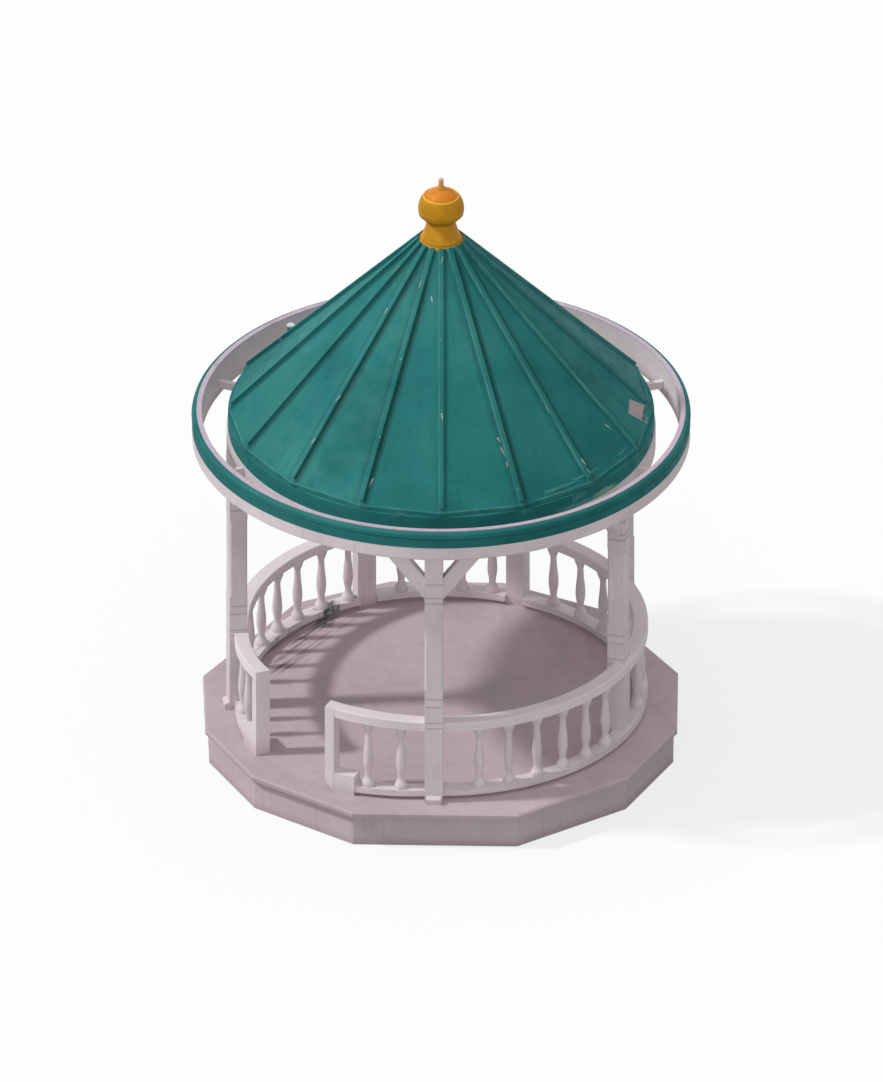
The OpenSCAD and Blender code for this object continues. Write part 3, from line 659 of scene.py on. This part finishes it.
GOLD_DEEP = (0.38, 0.165, 0.006)
GOLD_MID = (0.55, 0.26, 0.009)
GOLD_LIGHT = (0.72, 0.39, 0.030)
BALL_GOLD = ((0.44, 0.20, 0.006), (0.55, 0.262, 0.008), (0.62, 0.31, 0.010))
BALL_SHADE = (0.27, 0.115, 0.010)
BALL_RING = (0.84, 0.48, 0.06)
COLLAR_GOLD = ((0.46, 0.205, 0.016), GOLD_MID, (0.66, 0.34, 0.035))
COLLAR_TORN = (0.10, 0.20, 0.10)
CAP_GOLD = ((0.60, 0.20, 0.018), (0.665, 0.230, 0.017), (0.74, 0.30, 0.03))
CAP_RIM = (0.76, 0.36, 0.04)
SPIKE_GOLD = (GOLD_DEEP, GOLD_MID, GOLD_LIGHT)
SPIKE_BARE = (0.62, 0.55, 0.52)
SPIKE_TIP = (0.62, 0.42, 0.34)

GOLD_GLOSS = 0.16


def gilding(name, golds, ribs):
    """Old gilding on turned work: fine ribs down it, worn darker in patches."""
    f = Finish(name)
    low, middle, high = golds
    rib_lines = f.noise(f.round_at(9, 0, 1.5), 3.0, 3, 0.6)
    worn = f.noise(f.place, 13, 5, 0.65)
    colour = f.ramp(f.noise(f.place, 4.5, 3), (0.32, low), (0.50, middle), (0.72, high))
    colour = f.mix(f.range(rib_lines, 0.48, 0.66, 0.0, ribs), colour, low)
    colour = f.mix(f.range(rib_lines, 0.46, 0.30, 0.0, ribs * 0.8), colour, high)
    colour = f.mix(f.range(worn, 0.60, 0.72, 0.0, 0.5), colour, GOLD_DEEP)
    return f, colour, rib_lines, worn


def ball_gilding():
    """The ball: painted shade underneath, a bright belt and a bright ring on top."""
    f, colour, rib_lines, worn = gilding("ball_gilding", BALL_GOLD, 0.55)
    middle = (BALL_LOW_Z + BALL_HIGH_Z) / 2 - 0.02
    # Painted shade over the ball's lower half.
    under = f.range(f.z, middle - 0.19, middle + 0.04, 0.50, 0.0)
    colour = f.mix(under, colour, BALL_SHADE)
    belt = f.line_at(f.z, middle + 0.015, 0.006)
    colour = f.mix(f.times(belt, 0.5), colour, GOLD_LIGHT)
    ring = f.range(f.z, BALL_HIGH_Z - 0.016, BALL_HIGH_Z - 0.008)
    colour = f.mix(f.times(ring, 0.75), colour, BALL_RING)
    rough = f.range(worn, 0.3, 0.7, 0.42, 0.62)
    normal = f.bump(worn, 0.0015, 0.3, f.bump(rib_lines, 0.004, 0.5))
    return f.finish(colour, rough, normal, GOLD_GLOSS, metal=0.12)


def collar_gilding():
    """The collar: a dark line at its shoulder, and its foot torn into the green."""
    f, colour, rib_lines, worn = gilding("collar_gilding", COLLAR_GOLD, 0.40)
    shoulder = f.band(f.z, COLLAR_FOOT_Z + 0.045, COLLAR_FOOT_Z + 0.060, 0.005)
    colour = f.mix(f.times(shoulder, 0.30), colour, GOLD_DEEP)
    foot = f.range(f.ragged(f.z, worn, 0.06), COLLAR_FOOT_Z + 0.045,
                   COLLAR_FOOT_Z + 0.075, 1.0, 0.0)
    torn = f.all_of(foot, f.range(f.noise(f.place, 19, 4, 0.7), 0.60, 0.64, 0.0, 0.5))
    colour = f.mix(torn, colour, COLLAR_TORN)
    rough = f.range(worn, 0.3, 0.7, 0.42, 0.62)
    normal = f.bump(worn, 0.0015, 0.3, f.bump(rib_lines, 0.003, 0.4))
    return f.finish(colour, rough, normal, GOLD_GLOSS, metal=0.12)


def cap_gilding():
    """The cap: a redder gold with a lighter rim."""
    f, colour, _, worn = gilding("cap_gilding", CAP_GOLD, 0.20)
    rim = f.range(f.away, 0.178, 0.190)
    colour = f.mix(f.times(rim, 0.5), colour, CAP_RIM)
    rough = f.range(worn, 0.3, 0.7, 0.42, 0.60)
    return f.finish(colour, rough, f.bump(worn, 0.002, 0.35), GOLD_GLOSS, metal=0.10)


def spike_gilding():
    """The spike: rubbed bare on one side and at its tip."""
    f, colour, _, worn = gilding("spike_gilding", SPIKE_GOLD, 0.6)
    bare = f.all_of(f.range(f.noise(f.place, 26, 4, 0.7), 0.50, 0.58),
                    f.range(f.x, -0.01, 0.015))
    colour = f.mix(f.times(bare, 0.75), colour, SPIKE_BARE)
    tip = f.range(f.z, SPIKE_TIP_Z - 0.035, SPIKE_TIP_Z - 0.010, 0.0, 0.7)
    colour = f.mix(tip, colour, SPIKE_TIP)
    rough = f.range(worn, 0.3, 0.7, 0.45, 0.65)
    return f.finish(colour, rough, f.bump(worn, 0.002, 0.4), GOLD_GLOSS, metal=0.10)


# ---- timber and stone ----

RAFTER_DARK = (0.27, 0.205, 0.165)
RAFTER_MID = (0.42, 0.335, 0.275)
RAFTER_LIGHT = (0.50, 0.42, 0.36)
KNOT = (0.10, 0.065, 0.045)
STONE_LIGHT = (0.565, 0.463, 0.492)
STONE_MID = (0.492, 0.402, 0.430)
STONE_DARK = (0.38, 0.315, 0.342)
STONE_RUBBED = (0.58, 0.48, 0.49)
STONE_GRIT = (0.27, 0.22, 0.235)
STONE_PITS = (0.17, 0.135, 0.14)
SLAB_STROKES = (0.085, 0.072, 0.078)
SLAB_STAIN = (0.045, 0.070, 0.065)
SLAB_SPILL = (0.66, 0.58, 0.58)
COURSE_PALER = (0.80, 0.70, 0.75)
COURSE_SPLASH = (0.27, 0.22, 0.22)


def rafter_timber():
    """Sawn softwood under the roof, its grain running with the slope."""
    f = Finish("rafter_timber")
    grain_lines = f.noise(f.round_at(70, 1.6, 1.6), 2.2, 6, 0.65)
    knots = f.cells(f.stretched(3.0, 3.0, 2.0), 1.4)
    colour = f.ramp(grain_lines, (0.30, RAFTER_DARK), (0.55, RAFTER_MID),
                    (0.75, RAFTER_LIGHT))
    colour = f.mix(f.range(knots, 0.05, 0.11, 0.7, 0.0), colour, KNOT)
    rough = f.range(grain_lines, 0.3, 0.7, 0.65, 0.85)
    return f.finish(colour, rough, f.bump(grain_lines, 0.003, 0.5), gloss=0.25)


def cast_stone(name, is_slab):
    """Cast stone with cloudy stains, pits and fine grit; the slab's top is trodden."""
    f = Finish(name)
    clouds = f.noise(f.place, 1.1, 4, 0.55)
    mottle = f.noise(f.place, 6.5, 6, 0.65)
    grit = f.noise(f.place, 170, 2)
    pits = f.all_of(f.range(f.cells(f.place, 38), 0.05, 0.15, 1.0, 0.0),
                    f.range(f.noise(f.place, 9, 2), 0.50, 0.60))
    colour = f.ramp(clouds, (0.30, STONE_MID), (0.55, STONE_LIGHT))
    colour = f.mix(f.range(mottle, 0.50, 0.76, 0.0, 0.40), colour, STONE_DARK)
    colour = f.mix(f.range(mottle, 0.44, 0.28, 0.0, 0.30), colour, STONE_RUBBED)
    colour = f.mix(f.range(grit, 0.30, 0.72, 0.0, 0.26), colour, STONE_GRIT)
    colour = f.mix(f.times(pits, 0.5), colour, STONE_PITS)
    colour = slab_wear(f, colour) if is_slab else course_wear(f, colour, mottle)
    rough = f.range(mottle, 0.3, 0.7, 0.68, 0.88)
    normal = f.bump(f.minus(f.times(mottle, 0.5), pits), 0.004, 0.35)
    normal = f.bump(grit, 0.0012, 0.35, normal)
    return f.finish(colour, rough, normal, gloss=0.25)


def slab_wear(f, colour):
    """Painted shade on the left rim outside the rails and in diagonal streaks, strokes, a
    stain and pale spills.
    """
    # Painted shade on the slab's rim outside the rails, on the left, where the key light
    # falls.
    left_rim_shade = f.all_of(f.range(f.away, 2.28, 2.42), f.range(f.x, 0.3, -0.9))
    colour = f.mix(f.times(left_rim_shade, 0.38), colour, STONE_DARK)
    # Soft diagonal darker streaks across the slab: painted shade.
    shade_streaks = f.noise(f.turned(-72, 2.6, 0.35), 1.2, 3, 0.5)
    colour = f.mix(f.range(shade_streaks, 0.50, 0.56, 0.0, 0.12), colour, STONE_DARK)
    colour = f.mix(f.times(stroke_mask(f), 0.72), colour, SLAB_STROKES)
    colour = f.mix(f.times(stain_mask(f, *FLOOR_STAIN), 0.85), colour, SLAB_STAIN)
    spill = f.all_of(f.range(f.noise(f.place, 4.0, 5, 0.7), 0.66, 0.70, 0.0, 0.35),
                     f.range(f.z, FLOOR_Z - 0.01, FLOOR_Z - 0.002))
    return f.mix(spill, colour, SLAB_SPILL)


def course_wear(f, colour, mottle):
    """A paler tone over the lower course and dark runs down it, with mud splashed at its
    foot.
    """
    # Paler tone laid evenly over the whole course.
    colour = f.mix(0.16, colour, COURSE_PALER)
    runs = f.noise(f.stretched(7.5, 7.5, 0.7), 1.6, 5, 0.6)
    colour = f.mix(f.range(runs, 0.50, 0.75, 0.0, 0.34), colour, STONE_DARK)
    splash = f.range(f.ragged(f.z, mottle, 0.10), 0.06, 0.17, 0.35, 0.0)
    return f.mix(splash, colour, COURSE_SPLASH)


# ---- which node wears which finish ----

def dress(finish, *nodes):
    for node in nodes:
        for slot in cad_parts[node].material_slots:
            slot.material = finish


def named(start):
    return [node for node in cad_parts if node.startswith(start)]


def dress_all():
    grooves = [HANDRAIL_Z - GROOVES_SINK + up for up in LOW_GROOVES] \
        + [BRACE_FOOT_Z - GROOVES_SINK + up for up in HIGH_GROOVES]
    dress(pale_paint("post_paint", grooves=grooves), "post_left", "post_front",
          "post_right", "post_back_right", "post_back", "post_back_left")
    dress(pale_paint("timber_paint", fresh=0.12), "knee_braces", "post_toes",
          *named("balusters_"))
    dress(pale_paint("newel_paint", fresh=0.40), *named("newel_"))
    dress(pale_paint("rail_paint", "round", soiled=False, fresh=0.50),
          *named("handrail_"))
    dress(base_rail_paint(), "base_rails")
    dress(pale_paint("beam_paint", "round", soiled=False, smeared=True), "ring_beam",
          "hoop_brackets")
    dress(hoop_paint("lining_paint", "hoop_lining", 0.55), "hoop_lining")
    dress(hoop_paint("fascia_paint", "hoop_fascia", 0.12), "hoop_fascia")
    dress(roof_green(), "roof_boards", "roof_battens")
    dress(hoop_green(), "hoop_moulding")
    dress(vent_paint(), "roof_vent")
    dress(eaves_green(), "eaves_band")
    dress(lip_paint(), "hoop_lip")
    dress(rafter_timber(), "rafters", "roof_boss")
    dress(cast_stone("slab_stone", True), "plinth_slab")
    dress(cast_stone("course_stone", False), "plinth_course")
    dress(collar_gilding(), "finial_collar")
    dress(ball_gilding(), "finial_ball")
    dress(cap_gilding(), "finial_cap")
    dress(spike_gilding(), "finial_spike")


# ---- damage that stands off the surfaces ----

SHEET_THICK = 0.0012
UP_HIGH = 20                    # a height well over the spike
BESIDE_BAND = 2.5               # a distance between the eaves band and the hoop

# bearing of each flake of paint, and its distance from the axis in millimetres
FLAKES = [(-46.0, 843), (-24.1, 569), (1.6, 353), (-66.3, 542), (21.1, 1890), (20.8, 1790),
          (21.3, 1997), (44.1, 1675), (45.6, 2270), (63.7, 2048), (-44.7, 2002),
          (-44.5, 1618), (0.4, 1594), (-21.1, 2142), (-72.8, 427), (-9.1, 636),
          (45.6, 2190), (112.0, 1600), (158.0, 2050), (-136.0, 1480), (-157.0, 2210),
          (202.5, 1100), (135.5, 880)]
# bearing and distance of the bare place's corners, and of a point in its middle
BARE_CORNERS = ((84.1, 2.084), (88.1, 2.266), (80.7, 2.295), (77.4, 2.110))
BARE_MIDDLE = (81.5, 2.18)
# first bearing, last bearing and number of the strips torn along the eaves
TORN_RUNS = ((30, 52, 4), (60, 68, 1), (82, 106, 6))
# bearing, height over the band's foot, length and width of the flaps on the eaves band
BAND_FLAPS = ((40.3, 0.13, 0.20, 0.10), (23.5, 0.16, 0.11, 0.05),
              (-12.0, 0.17, 0.16, 0.04), (71.0, 0.15, 0.14, 0.05))


def on_plan(bearing, away):
    """Place on plan at a bearing in degrees, from the front towards the right."""
    turn = math.radians(bearing)
    return Vector((away * math.sin(turn), -away * math.cos(turn), 0))


def roof_at(bearing, away, lift=0.0):
    """Place on the roof's surface, battens included, and the surface's normal there."""
    above = on_plan(bearing, away) + Vector((0, 0, UP_HIGH))
    best = None
    for node in ("roof_boards", "roof_battens"):
        hit, place, normal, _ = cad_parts[node].ray_cast(above, Vector((0, 0, -1)))
        if hit and (best is None or place.z > best[0].z):
            best = (place, normal)
    place, normal = best
    return place + normal * lift, normal


def keep(bm, name, finish):
    bmesh.ops.recalc_face_normals(bm, faces=bm.faces)
    mesh = bpy.data.meshes.new(name)
    bm.to_mesh(mesh)
    bm.free()
    piece = bpy.data.objects.new(name, mesh)
    bpy.context.scene.collection.objects.link(piece)
    mesh.materials.append(finish)
    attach(piece, "root")


def leaf(bm, place, normal, way, long, wide, curl):
    """Small curved sheet: a grid laid along a way, curled off its bed and thickened."""
    side = normal.cross(way).normalized()
    way = side.cross(normal).normalized()
    made = bmesh.ops.create_grid(bm, x_segments=5, y_segments=2, size=0.5)
    turn = Matrix((way, side, normal)).transposed().to_4x4()
    for vert in made["verts"]:
        u, v = vert.co.x, vert.co.y
        taper = 1 - 0.75 * (u + 0.5) ** 2
        rise = curl * (u + 0.5) ** 2 + 0.15 * curl * v
        vert.co = place + turn @ Vector((u * long, v * wide * taper, rise))
    faces = list({face for vert in made["verts"] for face in vert.link_faces})
    bmesh.ops.solidify(bm, geom=faces, thickness=SHEET_THICK)


def make_flakes():
    """Curled flakes of paint along the hips, showing their pale undercoat."""
    dice = random.Random(7)
    bm = bmesh.new()
    for bearing, away in FLAKES:
        place, normal = roof_at(bearing, away / 1000, 0.0015)
        fall = on_plan(bearing, 1.0)
        fall.rotate(Matrix.Rotation(math.radians(dice.uniform(-14, 14)), 3, "Z"))
        leaf(bm, place, normal, fall, dice.uniform(0.06, 0.13),
             dice.uniform(0.008, 0.016), dice.uniform(0.003, 0.009))
    keep(bm, "roof_paint_flakes", peeled_paint("flake_undercoat", *FLAKE_UNDERCOAT))


def make_bare_patch():
    """Four-cornered place near the eaves where the green covering is gone."""
    bm = bmesh.new()
    made = bmesh.ops.create_grid(bm, x_segments=4, y_segments=4, size=0.5)
    near, far, far_left, near_left = (roof_at(*corner)[0] for corner in BARE_CORNERS)
    normal = roof_at(*BARE_MIDDLE)[1]
    for vert in made["verts"]:
        u, v = vert.co.x + 0.5, vert.co.y + 0.5
        flat = (near * (1 - u) + far * u) * (1 - v) \
            + (near_left * (1 - u) + far_left * u) * v
        step = flat - near
        flat.z = near.z + (-step.x * normal.x - step.y * normal.y) / normal.z
        vert.co = flat + normal * 0.0008
    bmesh.ops.solidify(bm, geom=list(bm.faces), thickness=0.0006)
    keep(bm, "bare_roof_patch", bare_board())


def make_torn_edge():
    """Strips of the covering lifted along the eaves, and flaps on the band below."""
    dice = random.Random(19)
    bm = bmesh.new()
    for low, high, count in TORN_RUNS:
        for step in range(count):
            bearing = low + (high - low) * (step + dice.uniform(0.1, 0.9)) / count
            place, normal = roof_at(bearing, FACET_R * 0.982, 0.002)
            along = on_plan(bearing + 90, 1.0)
            leaf(bm, place, normal, along, dice.uniform(0.16, 0.30),
                 dice.uniform(0.035, 0.060), dice.uniform(0.008, 0.020))
    for bearing, up, long, wide in BAND_FLAPS:
        outwards = on_plan(bearing, 1.0)
        start = outwards * BESIDE_BAND + Vector((0, 0, BAND_FOOT_Z + up))
        _, place, normal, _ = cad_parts["eaves_band"].ray_cast(start, -outwards)
        along = on_plan(bearing + 90, 1.0) + Vector((0, 0, 0.25))
        leaf(bm, place + normal * 0.0015, normal, along, long, wide, 0.010)
    keep(bm, "torn_eaves_sheet", peeled_paint("torn_sheet", *TORN_SHEET))


# ---- the scene ----

make_camera()
make_world()
make_floor()
for sun in SUNS:
    make_sun(*sun)
bpy.context.scene.view_settings.view_transform = "Standard"

dress_all()
make_flakes()
make_bare_patch()
make_torn_edge()
